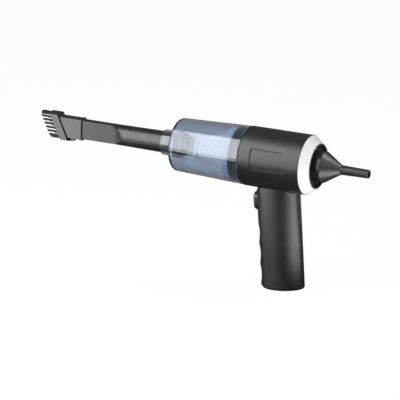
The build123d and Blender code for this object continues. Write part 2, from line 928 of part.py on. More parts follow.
# Bristles: tufts of straight strands on a slice of backing, between the passage and its edge
backing_radius = head_radius - backing_inset - seat_gap / 2
backing_half_width = head_half_width - backing_inset - seat_gap / 2
side_tuft_offset = (passage_half_width + backing_half_width) / 2
end_tuft_offset = (passage_radius + backing_radius) / 2
strand_places = []
for tuft in range(side_tufts):
    tuft_height = (tuft - (side_tufts - 1) / 2) * side_tuft_pitch
    strand_places += tuft_grid(tuft_columns, tuft_rows, tuft_height, -side_tuft_offset)
    strand_places += tuft_grid(tuft_columns, tuft_rows, tuft_height, side_tuft_offset)
for tuft_height in (-end_tuft_offset, end_tuft_offset):
    strand_places += tuft_grid(end_tuft_columns, end_tuft_rows, tuft_height, 0)
print("bristle strands", len(strand_places))

strand_whole = strand_length + strand_sink
strand_middle = -head_front + strand_sink - strand_whole / 2

with BuildPart() as brush_bristles:
    extrude(flat_sided(backing_radius, backing_half_width, across(-collar_rear)), amount=-brush_blank)
    split(bisect_by=slanted(-head_front + backing_thickness), keep=Keep.BOTTOM)
    split(bisect_by=slanted(-head_front), keep=Keep.TOP)
    extrude(
        flat_sided(passage_radius, passage_half_width, across(-collar_rear)),
        amount=-brush_blank,
        mode=Mode.SUBTRACT,
    )
    with Locations(side):
        with Locations(
            *[(strand_middle - height * slant_rise, height, width) for height, width in strand_places]
        ):
            Box(strand_whole, strand_thickness, strand_thickness)
save(brush_bristles, "brush_bristles")

# Fan shroud and fan plate
with BuildPart() as fan_shroud:
    revolve(
        turned(
            (shroud_front, shroud_inlet_radius),
            (shroud_front, fitted_radius),
            (fan_plate_front, fitted_radius),
            (fan_plate_front, fitted_radius - shroud_wall),
            (shroud_front + shroud_wall, fitted_radius - shroud_wall),
            (shroud_front + shroud_wall, shroud_inlet_radius),
        ),
        axis=barrel_axis,
    )
save(fan_shroud, "fan_shroud")

with BuildPart() as fan_plate:
    with BuildSketch(across(fan_plate_front)):
        Circle(fitted_radius)
        Circle(fan_plate_bore, mode=Mode.SUBTRACT)
        with PolarLocations(window_radius, window_count):
            SlotOverall(window_length, window_width, rotation=90, mode=Mode.SUBTRACT)
        with PolarLocations(motor_screw_circle, 2):
            Circle(motor_screw_radius + running_gap, mode=Mode.SUBTRACT)
    extrude(amount=fan_plate_thickness)
save(fan_plate, "fan_plate")

# Impeller on the motor's shaft
impeller_rear = fan_plate_front - impeller_clearance
impeller_front = impeller_rear - impeller_depth
blade_root = impeller_hub_radius - blade_sink
blade_tip = impeller_radius - blade_inset

with BuildPart() as impeller:
    with BuildSketch(across(impeller_rear - impeller_disc)):
        Circle(impeller_radius)
    extrude(amount=impeller_disc)
    with BuildSketch(across(impeller_front)):
        Circle(impeller_hub_radius)
        with PolarLocations(0, blade_count):
            with BuildLine():
                ThreePointArc((blade_root, 0), ((blade_root + blade_tip) / 2, blade_bow), (blade_tip, 0))
            trace(line_width=blade_thickness)
    extrude(amount=impeller_depth)
    with BuildSketch(across(impeller_front)):
        Circle(motor_shaft_radius + running_gap)
    extrude(amount=impeller_depth, mode=Mode.SUBTRACT)
save(impeller, "impeller")

# Motor
with BuildPart() as motor_can:
    revolve(
        turned(
            (motor_front, bush_radius + running_gap),
            (motor_front, motor_radius),
            (can_rear, motor_radius),
            (can_rear, motor_radius - motor_wall),
            (motor_front + motor_wall, motor_radius - motor_wall),
            (motor_front + motor_wall, bush_radius + running_gap),
        ),
        axis=barrel_axis,
    )
    with BuildSketch(across(motor_front)):
        with PolarLocations(motor_screw_circle, 2):
            Circle(motor_screw_radius + running_gap)
    extrude(amount=motor_wall, mode=Mode.SUBTRACT)
save(motor_can, "motor_can")

with BuildPart() as motor_end_cap:
    with BuildSketch(across(can_rear)):
        Circle(motor_radius)
        Circle(bush_radius + running_gap, mode=Mode.SUBTRACT)
    extrude(amount=end_cap_length)
save(motor_end_cap, "motor_end_cap")

with BuildPart() as motor_bushes:
    for bush_front in (motor_front - bush_proud, motor_rear - bush_length):
        with BuildSketch(across(bush_front)):
            Circle(bush_radius)
            Circle(motor_shaft_radius + running_gap, mode=Mode.SUBTRACT)
        extrude(amount=bush_length)
save(motor_bushes, "motor_bushes")

armature_front = motor_front + armature_setback
magnet_outer = motor_radius - motor_wall - running_gap
with BuildPart() as motor_magnets:
    for start in (-magnet_angle / 2, 180 - magnet_angle / 2):
        with BuildSketch(across(armature_front - magnet_overhang)):
            with BuildLine():
                outer_arc = CenterArc((0, 0), magnet_outer, start, magnet_angle)
                inner_arc = CenterArc((0, 0), magnet_outer - magnet_thickness, start, magnet_angle)
                Line(outer_arc @ 0, inner_arc @ 0)
                Line(outer_arc @ 1, inner_arc @ 1)
            make_face()
        extrude(amount=magnet_length)
save(motor_magnets, "motor_magnets")

with BuildPart() as motor_armature:
    with BuildSketch(across(armature_front)):
        Circle(armature_radius)
        with PolarLocations(armature_radius, slot_count):
            Rectangle(2 * slot_depth, slot_width, mode=Mode.SUBTRACT)
    extrude(amount=armature_length)
    with BuildSketch(across(armature_front + armature_length)):
        Circle(commutator_radius)
    extrude(amount=commutator_length)
    with BuildSketch(across(armature_front)):
        Circle(motor_shaft_radius + running_gap / 2)
    extrude(amount=armature_length + commutator_length, mode=Mode.SUBTRACT)
save(motor_armature, "motor_armature")

with BuildPart() as motor_shaft:
    with BuildSketch(across(impeller_front)):
        Circle(motor_shaft_radius)
    extrude(amount=motor_rear + shaft_tail - impeller_front)
save(motor_shaft, "motor_shaft")

with BuildPart() as motor_terminals:
    with BuildSketch(across(motor_rear)):
        with Locations((-lead_offset, -terminal_height), (lead_offset, -terminal_height)):
            Rectangle(terminal_width, terminal_thickness)
    extrude(amount=terminal_length)
save(motor_terminals, "motor_terminals")

with BuildPart() as motor_screws:
    with BuildSketch(across(fan_plate_front)):
        with PolarLocations(motor_screw_circle, 2):
            Circle(motor_screw_radius)
    extrude(amount=motor_screw_length)
    with BuildSketch(across(fan_plate_front)):
        with PolarLocations(motor_screw_circle, 2):
            Circle(motor_screw_head)
    extrude(amount=-motor_screw_head_height)
save(motor_screws, "motor_screws")

# Rubber sleeve and finned cradle that hold the motor in the barrel
cradle_front = motor_front + cradle_setback
damper_front = cradle_front + (cradle_length - damper_length) / 2

with BuildPart() as motor_damper:
    with BuildSketch(across(damper_front)):
        Circle(damper_radius)
        Circle(motor_radius + running_gap, mode=Mode.SUBTRACT)
    extrude(amount=damper_length)
save(motor_damper, "motor_damper")

with BuildPart() as motor_cradle:
    with BuildSketch(across(cradle_front)):
        Circle(cradle_radius)
        for number in range(fin_count):
            with Locations(Location((0, 0), 90 + number * 360 / fin_count)):
                Rectangle(fitted_radius, fin_thickness, align=(Align.MIN, Align.CENTER))
        Circle(sleeve_bore, mode=Mode.SUBTRACT)
    extrude(amount=cradle_length)
save(motor_cradle, "motor_cradle")

# Leads from the control board to the motor
lead_station = motor_rear + terminal_length / 2
lead_drop = -cradle_radius - lead_clearance
lead_turn = side.from_local_coords((cradle_front, lead_drop, 0))
lead_rise = side.from_local_coords((lead_station, lead_drop, 0))
lead_end = side.from_local_coords((lead_station, -terminal_height - terminal_thickness / 2, 0))
with BuildPart() as motor_leads:
    for lead_y in (-lead_offset, lead_offset):
        with BuildLine():
            lead_route = FilletPolyline(
                (board_back, lead_y, board_top - lead_bend),
                (board_back + 2 * lead_bend, lead_y, board_top - lead_bend),
                (lead_turn.X, lead_y, lead_turn.Z),
                (lead_rise.X, lead_y, lead_rise.Z),
                (lead_end.X, lead_y, lead_end.Z),
                radius=lead_bend,
            )
        with BuildSketch(Plane(origin=lead_route @ 0, z_dir=lead_route % 0)):
            Circle(lead_radius)
        sweep(path=lead_route)
save(motor_leads, "motor_leads")

# White rear ring with its skirt in the barrel
ring_rear = barrel_rear + ring_length
ring_bore = ring_rear_radius - ring_edge
flange_rear = barrel_rear + collar_flange
ring_step = flange_rear + seat_gap / 2

with BuildPart() as rear_ring:
    revolve(
        turned(
            (barrel_rear - ring_skirt, fitted_radius - ring_skirt_wall),
            (barrel_rear - ring_skirt, fitted_radius),
            (barrel_rear + seat_gap / 2, fitted_radius),
            (barrel_rear + seat_gap / 2, barrel_radius),
            (ring_rear, ring_rear_radius),
            (ring_rear, ring_bore),
            (ring_step, ring_bore),
            (ring_step, fitted_radius - ring_skirt_wall),
        ),
        axis=barrel_axis,
    )
save(rear_ring, "rear_ring")

# Exhaust collar: lip, dish and socket for the blow nozzle
lip_rear = ring_rear + collar_lip_proud
lip_radius = ring_bore - seat_gap / 2
dish_floor = lip_rear - dish_depth
outlet_front = dish_floor - outlet_reach

with BuildPart() as exhaust_collar:
    revolve(
        turned(
            (outlet_front, outlet_radius),
            (outlet_front, outlet_radius + outlet_wall),
            (barrel_rear, outlet_radius + outlet_wall),
            (barrel_rear, collar_flange_radius),
            (flange_rear, collar_flange_radius),
            (flange_rear, lip_radius),
            (lip_rear, lip_radius),
            (lip_rear, lip_radius - collar_lip_width),
            (dish_floor, lip_radius - collar_lip_width),
            (dish_floor, outlet_radius),
        ),
        axis=barrel_axis,
    )
    lip_centre = side.from_local_coords((lip_rear, 0, 0))
    lip_edges = exhaust_collar.edges().filter_by(GeomType.CIRCLE)
    fillet(lip_edges.filter_by(lambda e: (e.arc_center - lip_centre).length < 0.01), collar_lip_round)
save(exhaust_collar, "exhaust_collar")

# Blow nozzle: a funnel that plugs into the collar
funnel_front = dish_floor + seat_gap / 2
funnel_cone_front = funnel_front + funnel_base_length
funnel_neck = funnel_cone_front + funnel_cone_length
funnel_tip = funnel_neck + funnel_tube_length
spigot_bore = outlet_radius - push_gap - funnel_spigot_wall

with BuildPart() as blow_nozzle:
    revolve(
        turned(
            (funnel_front - funnel_spigot_depth, spigot_bore),
            (funnel_front - funnel_spigot_depth, outlet_radius - push_gap),
            (funnel_front, outlet_radius - push_gap),
            (funnel_front, funnel_radius),
            (funnel_cone_front, funnel_radius),
            (funnel_neck, funnel_neck_radius),
            (funnel_tip, funnel_tip_radius),
            (funnel_tip, funnel_bore),
            (funnel_neck, funnel_bore),
            (funnel_cone_front, spigot_bore),
        ),
        axis=barrel_axis,
    )
    shoulder_edges = blow_nozzle.edges().filter_by(GeomType.CIRCLE)
    fillet(
        shoulder_edges.filter_by(
            lambda e: abs(e.radius - funnel_radius) < 0.01
            and (e.arc_center - side.from_local_coords((funnel_cone_front, 0, 0))).length < 0.01
        ),
        funnel_shoulder,
    )
save(blow_nozzle, "blow_nozzle")
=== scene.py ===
import json
import math
import random

import bmesh
import bpy
from mathutils import Matrix, Vector


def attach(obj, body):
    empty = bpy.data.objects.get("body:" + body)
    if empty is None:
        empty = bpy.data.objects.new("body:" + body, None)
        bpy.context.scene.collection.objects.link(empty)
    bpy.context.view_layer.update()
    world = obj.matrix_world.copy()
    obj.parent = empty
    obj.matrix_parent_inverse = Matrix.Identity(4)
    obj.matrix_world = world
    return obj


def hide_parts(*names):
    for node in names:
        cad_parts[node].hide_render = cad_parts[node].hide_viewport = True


# Cordless handheld vacuum cleaner: black moulded housing and nozzles, a clear dust cup
# with a pleated filter inside, a white ring at the rear. The camera, the lamps and the floor
# are placed in metres. Pieces and grains are sized in millimetres.
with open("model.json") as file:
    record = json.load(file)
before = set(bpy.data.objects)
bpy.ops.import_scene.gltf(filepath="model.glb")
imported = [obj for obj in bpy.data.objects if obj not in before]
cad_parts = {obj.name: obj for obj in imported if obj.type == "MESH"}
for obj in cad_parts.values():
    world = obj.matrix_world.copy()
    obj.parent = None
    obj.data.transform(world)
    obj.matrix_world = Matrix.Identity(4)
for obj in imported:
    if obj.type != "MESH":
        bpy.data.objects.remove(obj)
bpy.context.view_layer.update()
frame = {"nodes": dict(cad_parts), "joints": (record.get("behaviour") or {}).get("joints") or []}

MM = 0.001
# A fold of more than this many degrees is shaded as an edge
SHARP_EDGE = 32
# One seeded draw, so that the bristles come out the same each time
draw = random.Random(11)

# The barrel's own frame: a station runs rearward along its axis, a height square to it
impeller_axis = next(joint for joint in frame["joints"] if joint["name"] == "impeller_spin")
rearward = Vector(impeller_axis["axis"]).normalized()
sideways = Vector((0, 1, 0))
upward = rearward.cross(sideways)
crossing = Vector(impeller_axis["pos_m"])


def on_barrel(station, across, height):
    """A point of the barrel's frame, given in millimetres."""
    return crossing + MM * (station * rearward + across * sideways + height * upward)


# Camera: its place and lens are fitted to the round edges of the barrel

camera_azimuth = math.radians(27.852)
camera_elevation = math.radians(13.201)
camera_roll = math.radians(-3.078)
camera_distance = 2.5
camera_target = Vector((-0.08653, 0, 0.08207))

back = Vector((
    math.sin(camera_azimuth) * math.cos(camera_elevation),
    -math.cos(camera_azimuth) * math.cos(camera_elevation),
    math.sin(camera_elevation),
))
level_right = Vector((math.cos(camera_azimuth), math.sin(camera_azimuth), 0))
level_up = back.cross(level_right)
right = level_right * math.cos(camera_roll) + level_up * math.sin(camera_roll)
camera_data = bpy.data.cameras.new("camera")
camera_data.sensor_width = 36
camera_data.lens = 229.86
camera_data.clip_end = 40
camera = bpy.data.objects.new("camera", camera_data)
camera.matrix_world = Matrix.Translation(camera_target + back * camera_distance) @ Matrix(
    (right, back.cross(right), back)
).transposed().to_4x4()
bpy.context.scene.collection.objects.link(camera)
bpy.context.scene.camera = camera
bpy.context.scene.view_settings.view_transform = "Standard"


# Nodes and colours

def linear(code):
    """A linear colour from an sRGB hex code."""
    channels = [int(code[place:place + 2], 16) / 255 for place in (1, 3, 5)]
    return [c / 12.92 if c <= 0.04045 else ((c + 0.055) / 1.055) ** 2.4 for c in channels] + [1.0]


def add_node(tree, kind, links=None, **settings):
    """A node of this kind. Links give its inputs a value or another node's output."""
    node = tree.nodes.new(kind)
    for key, value in settings.items():
        setattr(node, key, value)
    for key, value in (links or {}).items():
        if isinstance(value, bpy.types.NodeSocket):
            tree.links.new(value, node.inputs[key])
        else:
            node.inputs[key].default_value = value
    return node


def new_material(name, colour, roughness, **sockets):
    """A Principled material. Sockets are set by their names, with _ for a space."""
    material = bpy.data.materials.new(name)
    material.use_nodes = True
    tree = material.node_tree
    shader = tree.nodes["Principled BSDF"]
    shader.inputs["Base Color"].default_value = linear(colour)
    shader.inputs["Roughness"].default_value = roughness
    for key, value in sockets.items():
        shader.inputs[key.replace("_", " ")].default_value = value
    return material, tree, shader


def grain(tree, size, detail=2.0, stretch=(1, 1, 1)):
    """Noise whose blotches are about this many millimetres across, stretched if asked."""
    place = add_node(tree, "ShaderNodeTexCoord")
    scaled = add_node(
        tree, "ShaderNodeMapping", {"Vector": place.outputs["Object"], "Scale": stretch}
    )
    return add_node(
        tree, "ShaderNodeTexNoise",
        {"Vector": scaled.outputs["Vector"], "Scale": 1 / (size * MM), "Detail": detail},
    ).outputs["Fac"]


# Most values of a grain lie between these
GRAIN_LOW, GRAIN_HIGH = 0.3, 0.7


def tinted(tree, shader, value, one, other):
    """Lets the colour drift between two codes with a grain."""
    share = add_node(
        tree, "ShaderNodeMapRange",
        {"Value": value, "From Min": GRAIN_LOW, "From Max": GRAIN_HIGH},
    )
    mix = add_node(
        tree, "ShaderNodeMix",
        {"Factor": share.outputs["Result"], "A": linear(one), "B": linear(other)},
        data_type="RGBA",
    )
    tree.links.new(mix.outputs["Result"], shader.inputs["Base Color"])


def rubbed(tree, shader, value, roughness, change):
    """Lets the roughness go up and down by a change with a grain, as handling leaves it."""
    worn = add_node(
        tree, "ShaderNodeMapRange",
        {"Value": value, "From Min": GRAIN_LOW, "From Max": GRAIN_HIGH,
         "To Min": roughness - change, "To Max": roughness + change},
    )
    tree.links.new(worn.outputs["Result"], shader.inputs["Roughness"])


def relief(tree, shader, value, depth):
    """Presses a grain into the surface, this many millimetres deep."""
    bump = add_node(tree, "ShaderNodeBump", {"Height": value, "Distance": depth * MM})
    tree.links.new(bump.outputs["Normal"], shader.inputs["Normal"])


# Widths on moulded parts, in millimetres: of a drift in the colour, and of a rubbed patch
COLOUR_DRIFT, RUBBED_PATCH = 22, 9


def moulded(name, one, other, roughness, grain_size, depth, wear=0.06, **sockets):
    """Moulded plastic or rubber. Its colour drifts over centimetres, its gloss is rubbed in
    patches, and the mould's texture of this grain stands on it."""
    material, tree, shader = new_material(name, one, roughness, **sockets)
    tinted(tree, shader, grain(tree, COLOUR_DRIFT), one, other)
    rubbed(tree, shader, grain(tree, RUBBED_PATCH, 3.0), roughness, wear)
    relief(tree, shader, grain(tree, grain_size), depth)
    return material


# Finishes: one for each material slot of the record, and the blow nozzle's and the brush
# collar's own. A mould's texture is really about 0.1 mm across. It is drawn four or five
# times as coarse, so that it shows in a near view.

finishes = {
    # Acrylonitrile butadiene styrene from a spark-eroded mould: a soft wide sheen on black
    "housing_abs": moulded("housing_abs", "#101011", "#131314", 0.38, 0.5, 0.012,
                           Specular_IOR_Level=1.0, Coat_Weight=0.6, Coat_Roughness=0.44),
    # Crevice nozzle: the same plastic, a little glossier, because its mould is only blasted
    "nozzle_abs": moulded("nozzle_abs", "#1a1a1b", "#1e1e1f", 0.34, 0.45, 0.01,
                         Specular_IOR_Level=0.9, Coat_Weight=0.5, Coat_Roughness=0.36),
    # Blow nozzle: the same plastic, with a little less sheen over its black
    "funnel_abs": moulded("funnel_abs", "#121213", "#161617", 0.38, 0.5, 0.012,
                          Specular_IOR_Level=1.0, Coat_Weight=0.5, Coat_Roughness=0.4),
    # Brush collar: the same plastic from a smoother mould, so that its flats catch more light
    "collar_abs": moulded("collar_abs", "#1e1e1f", "#222223", 0.25, 0.45, 0.006,
                          Specular_IOR_Level=1.0, Coat_Weight=1.0, Coat_Roughness=0.24),
    # Button cap: the same plastic with a finer mould texture, so it looks smoother
    "button_abs": moulded("button_abs", "#121213", "#151516", 0.3, 0.4, 0.006,
                          Specular_IOR_Level=1.0, Coat_Weight=0.6, Coat_Roughness=0.32),
    # Styrene rubber overmould: dull, with a faint bloom
    "grip_rubber": moulded("grip_rubber", "#151516", "#19191a", 0.5, 0.6, 0.015, 0.05),
    # White ring: the same plastic with a shallow mould texture, satin without hard highlights
    "white_abs": moulded("white_abs", "#e6e6e6", "#e2e2e2", 0.38, 0.5, 0.006, 0.04),
    # Silicone seal: smooth, dark and dull
    "seal_rubber": moulded("seal_rubber", "#151517", "#1a1a1c", 0.45, 0.5, 0.006),
    # Open-cell polyurethane foam, cut: pores half a millimetre wide, no gloss
    "foam_pad": moulded("foam_pad", "#3a3a3c", "#2c2c2e", 0.95, 0.5, 0.3),
    # Moulded nylon of the fan: milky grey from its glass fibre
    "fan_nylon": moulded("fan_nylon", "#8f9092", "#85868a", 0.5, 0.4, 0.015),
    # Glass-filled nylon of the motor's parts: darker, dull, with a fine grain
    "moulded_plastic": moulded("moulded_plastic", "#333436", "#2b2c2e", 0.55, 0.4, 0.015),
    # Shrunk vinyl film round the cells: glossy, with faint ripples
    "cell_wrap": moulded("cell_wrap", "#2f6f8e", "#2b6886", 0.3, 6.0, 0.05, 0.05),
    # Plasticised vinyl insulation of the leads: an even satin red
    "lead_pvc": moulded("lead_pvc", "#8d1f1b", "#7f1b18", 0.45, 0.5, 0.006),
    # Sintered ferrite of the magnets: matt dark grey, faintly gritty
    "ferrite": moulded("ferrite", "#3b3b3d", "#303032", 0.8, 0.3, 0.02),
}


def metal(name, colour, roughness, stretch, size, depth, wear=0.08):
    """Drawn, plated or ground metal. Its marks are long where the stretch is under 1."""
    material, tree, shader = new_material(name, colour, roughness, Metallic=1.0)
    marks = grain(tree, size, 3.0, stretch)
    rubbed(tree, shader, marks, roughness, wear)
    relief(tree, shader, marks, depth)
    return material


finishes.update({
    # Steel, ground on the shaft and rolled on the screws: bright, its marks fine and even
    "steel": metal("steel", "#b9bbbd", 0.28, (1, 1, 1), 0.3, 0.003),
    # Deep-drawn steel with bright zinc on it: long marks along the draw
    "zinc_plate": metal("zinc_plate", "#c3c5c6", 0.34, (0.1, 1, 1), 0.4, 0.006),
    # Sintered bronze of the bushes: oily brown, with open pores
    "bronze": metal("bronze", "#a5703c", 0.42, (1, 1, 1), 0.2, 0.02),
    # Stamped electrical steel with varnish: the edges of half-millimetre laminations
    "armature_steel": metal("armature_steel", "#8a8078", 0.45, (4, 0.2, 0.2), 2.0, 0.03),
    # Rolled nickel of the cells' strip and the socket's shell: a warm satin
    "nickel": metal("nickel", "#cfc8bb", 0.3, (1, 0.2, 1), 0.4, 0.003),
})

# Woven glass-fibre board under green solder mask: the cloth shows faintly through it
board, tree, shader = new_material("circuit_board", "#1f4a2e", 0.35)
tinted(tree, shader, grain(tree, 2.5), "#1f4a2e", "#285a38")
relief(tree, shader, grain(tree, 0.6), 0.02)
finishes["circuit_board"] = board

# Polycarbonate, moulded clear with a blue-grey tint: the polished mould gives it hard
# reflections. The lamps shine through it on what lies inside.
clear, tree, shader = new_material(
    "clear_polycarbonate", "#c1cbda", 0.03, IOR=1.585, Transmission_Weight=1.0,
    Coat_Weight=1.0, Coat_Roughness=0.03
)
relief(tree, shader, grain(tree, 12), 0.02)
through = add_node(tree, "ShaderNodeBsdfTransparent", {"Color": linear("#d8dde5")})
shadow_ray = add_node(tree, "ShaderNodeLightPath").outputs["Is Shadow Ray"]
mixed = add_node(
    tree, "ShaderNodeMixShader", {0: shadow_ray, 1: shader.outputs[0], 2: through.outputs[0]}
)
tree.links.new(mixed.outputs[0], tree.nodes["Material Output"].inputs["Surface"])
finishes["clear_plastic"] = clear

# Moulded polypropylene of the filter's frame: translucent, so it glows where light is
# behind it
frosted, tree, shader = new_material(
    "frosted_polypropylene", "#e3e8ee", 0.35, Subsurface_Weight=0.6, Subsurface_Scale=0.003
)
relief(tree, shader, grain(tree, 0.5), 0.006)
finishes["frosted_plastic"] = frosted

# Spun polyester fleece, folded: fibres mat into a soft uneven white
fleece, tree, shader = new_material(
    "filter_fleece", "#f4f4f2", 0.95, Sheen_Weight=0.3, Sheen_Roughness=0.6
)
tinted(tree, shader, grain(tree, 3, 4.0), "#f6f6f4", "#ebebe8")
relief(tree, shader, grain(tree, 0.4, 5.0, (0.35, 1, 1)), 0.06)
finishes["filter_fleece"] = fleece

# Drawn nylon filaments, black: lighter in places, with fine lines along them
bristle, tree, shader = new_material("bristle_nylon", "#1c1c1f", 0.38)
tinted(tree, shader, grain(tree, 1.2), "#18181a", "#2a2a2e")
relief(tree, shader, grain(tree, 0.5, 2.0, (0.1, 1, 1)), 0.01)
finishes["bristle_nylon"] = bristle

for node in frame["nodes"].values():
    for place in node.material_slots:
        place.material = finishes[place.material.name.split(".")[0]]
    if node.type == "MESH":
        node.data.shade_smooth()
        node.data.set_sharp_from_angle(angle=math.radians(SHARP_EDGE))
        flats = node.modifiers.new("true_flats", "WEIGHTED_NORMAL")
        flats.keep_sharp = True


# Meshes

def skin(name, rings, hoop=True):
    """A closed mesh through rings with as many points each. A hoop joins the last ring to
    the first; without it both ends are capped."""
    mesh = bmesh.new()
    rows = [[mesh.verts.new(point) for point in ring] for ring in rings]
    pairs = list(zip(rows, rows[1:]))
    if hoop:
        pairs.append((rows[-1], rows[0]))
    else:
        mesh.faces.new(rows[0])
        mesh.faces.new(reversed(rows[-1]))
    for near, far in pairs:
        for one, two, three, four in zip(near, near[1:] + near[:1], far[1:] + far[:1], far):
            mesh.faces.new((one, two, three, four))
    return finished(name, mesh)


def finished(name, mesh, sharp=SHARP_EDGE):
    """The object of a bmesh, shaded smooth up to an angle in degrees."""
    bmesh.ops.recalc_face_normals(mesh, faces=mesh.faces)
    data = bpy.data.meshes.new(name)
    mesh.to_mesh(data)
    mesh.free()
    data.shade_smooth()
    data.set_sharp_from_angle(angle=math.radians(sharp))
    piece = bpy.data.objects.new(name, data)
    bpy.context.scene.collection.objects.link(piece)
    return piece


def rounded(outline, arc_steps=5, most_of_run=0.48, long_run=1.0, hold=0.2):
    """The (station, radius, rounding) points of a closed outline, with its corners as arcs.
    An arc takes less than half of the runs beside it. A point just inside each end of a
    long run holds the shading of its wall straight."""
    points = []
    for number, (station, radius, rounding) in enumerate(outline):
        corner = Vector((station, radius))
        if not rounding:
            points.append(corner)
            continue
        ahead = Vector(outline[(number + 1) % len(outline)][:2]) - corner
        behind = Vector(outline[number - 1][:2]) - corner
        half = behind.angle(ahead) / 2
        reach = min(
            rounding / math.tan(half), most_of_run * behind.length, most_of_run * ahead.length
        )
        towards = (behind.normalized() + ahead.normalized()).normalized()
        centre = corner + towards * (reach / math.cos(half))
        first = corner + behind.normalized() * reach - centre
        last = corner + ahead.normalized() * reach - centre
        for step in range(arc_steps + 1):
            spoke = first.slerp(last, step / arc_steps)
            points.append(centre + spoke.normalized() * first.length)
    held = []
    for here, there in zip(points, points[1:] + points[:1]):
        held.append(here)
        run = (there - here).length
        if run > long_run:
            held += [here.lerp(there, hold / run), there.lerp(here, hold / run)]
    return held


def turned(name, outline, hoop=True, segments=160):
    """A piece turned about the barrel's axis from an outline in millimetres."""
    rings = []
    for station, radius in rounded(outline):
        rings.append([
            on_barrel(
                station,
                radius * math.cos(math.tau * number / segments),
                radius * math.sin(math.tau * number / segments),
            )
            for number in range(segments)
        ])
    return skin(name, rings, hoop)


def dress(piece, node, body, slot, finish=None):
    """The piece stands for a CAD node, on its body and in the finish of a slot."""
    piece.data.materials.append(finishes[finish or slot])
    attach(piece, body)
    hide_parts(node)


# Dust cup: one wall from the mouth over the rounded front to the neck and its duct.
# Stations, then radii.
cup_mouth, seal_step, duct_end, duct_root, neck_stop, front_inside, cup_front, neck_end = (
    -30.3, -42.2, -93.9, -99.7, -100.9, -104.1, -106.3, -122.3
)
seal_bore, neck_radius, neck_bore, duct_radius, duct_bore = 26.4, 12.53, 10.78, 9.2, 8.0
dress(
    turned("dust_cup_clear", [
        (cup_mouth, seal_bore, 0.3), (cup_mouth, 28.6, 0.5),
        (cup_front, 26.0, 2.4), (cup_front, neck_radius, 0.8),
        (neck_end, neck_radius, 0.5), (neck_end, neck_bore, 0.3),
        (neck_stop, neck_bore, 0), (neck_stop, duct_bore, 0.2),
        (duct_end, duct_bore, 0.3), (duct_end, duct_radius, 0.3),
        (duct_root, duct_radius, 0.4), (neck_stop, neck_radius, 0.3),
        (front_inside, neck_radius, 0.6), (front_inside, 23.875, 2.0),
        (seal_step, 25.993, 0.1), (seal_step, seal_bore, 0.1),
    ]),
    "dust_cup", "cup", "clear_plastic",
)

# Filter: frame with its skirt, pleated fleece and end cap
skirt_end, flange_rear, pocket_rear, pocket_front, flange_front = -35.2, -41.0, -42.4, -47.3, -48.7
skirt_bore, skirt_radius, flange_radius, flange_bore, folds_bore = 18.4, 19.8, 25.2, 23.8, 17.7
dress(
    turned("filter_frame", [
        (skirt_end, skirt_bore, 0.3), (skirt_end, skirt_radius, 0.4),
        (flange_rear, skirt_radius, 0.1), (flange_rear, flange_radius, 0.5),
        (flange_front, flange_radius, 0.8), (flange_front, folds_bore, 0.4),
        (pocket_front, folds_bore, 0.3), (pocket_front, flange_bore, 0.5),
        (pocket_rear, flange_bore, 0.3), (pocket_rear, skirt_bore, 0.3),
    ]),
    "filter_flange", "filter", "frosted_plastic",
)


def pleats(name, count, front, front_radius, rear, rear_radius, depth, media, points=10):
    """A cone of rounded pleats whose crests lie on the radii, in millimetres. Depth is the
    folds' own, media the thickness of the fleece."""
    rings = []
    for station, radius in (
        (front, front_radius), (rear, rear_radius),
        (rear, rear_radius - media), (front, front_radius - media),
    ):
        ring = []
        for number in range(count * points):
            turn = math.tau * number / (count * points)
            reach = radius - depth * (0.5 - 0.5 * math.cos(count * turn))
            ring.append(on_barrel(station, reach * math.cos(turn), reach * math.sin(turn)))
        rings.append(ring)
    return skin(name, rings)


cap_front, cap_groove, cap_rear = -84.0, -83.5, -81.6
cap_radius, cap_core = 11.0, 0.6
dress(
    pleats(
        "filter_folds", count=36, front=cap_rear, front_radius=10.6,
        rear=flange_front, rear_radius=20.2, depth=1.5, media=1.0,
    ),
    "filter_pleats", "filter", "filter_fleece",
)
dress(
    turned("filter_end_cap", [
        (cap_front, cap_core, 0), (cap_front, 7.5, 0.3), (cap_groove, 8.0, 0.3),
        (cap_front, 8.6, 0.3), (cap_front, cap_radius, 0.7), (cap_rear, cap_radius, 0.5),
        (cap_rear, cap_core, 0),
    ], hoop=False),
    "filter_cap", "filter", "frosted_plastic",
)

# White ring, black exhaust collar in it, and the blow nozzle that plugs into that
spigot_end, barrel_end, ring_step, ring_rear = 27.9, 34.0, 35.6, 43.1
spigot_bore, spigot_radius, barrel_radius, ring_edge, ring_bore = 25.2, 26.8, 29.0, 22.5, 21.9
dress(
    turned("rear_ring_white", [
        (spigot_end, spigot_bore, 0.3), (spigot_end, spigot_radius, 0.3),
        (barrel_end, spigot_radius, 0), (barrel_end, barrel_radius, 0.5),
        (ring_rear, ring_edge, 0.35), (ring_rear, ring_bore, 0.2),
        (ring_step, ring_bore, 0), (ring_step, spigot_bore, 0),
    ]),
    "rear_ring", "body", "white_abs",
)
socket_end, plate_front, plate_rear, dish_floor, lip_rear = 30.1, 33.9, 35.5, 38.3, 43.7
socket_bore, socket_radius, plate_radius, lip_radius, dish_radius = 13.3, 14.8, 25.0, 21.8, 20.4
dress(
    turned("exhaust_dish", [
        (socket_end, socket_bore, 0.2), (socket_end, socket_radius, 0.3),
        (plate_front, socket_radius, 0), (plate_front, plate_radius, 0.2),
        (plate_rear, plate_radius, 0.2), (plate_rear, lip_radius, 0),
        (lip_rear, lip_radius, 0.56), (lip_rear, dish_radius, 0.56),
        (dish_floor, dish_radius, 0.8), (dish_floor, socket_bore, 0.3),
    ]),
    "exhaust_collar", "body", "housing_abs",
)
plug_end, funnel_foot, funnel_bend, tube_root, tube_mouth = 30.6, 38.4, 50.2, 67.2, 95.7
plug_bore, plug_radius, funnel_radius, tube_bore = 11.72, 13.22, 15.1, 3.1
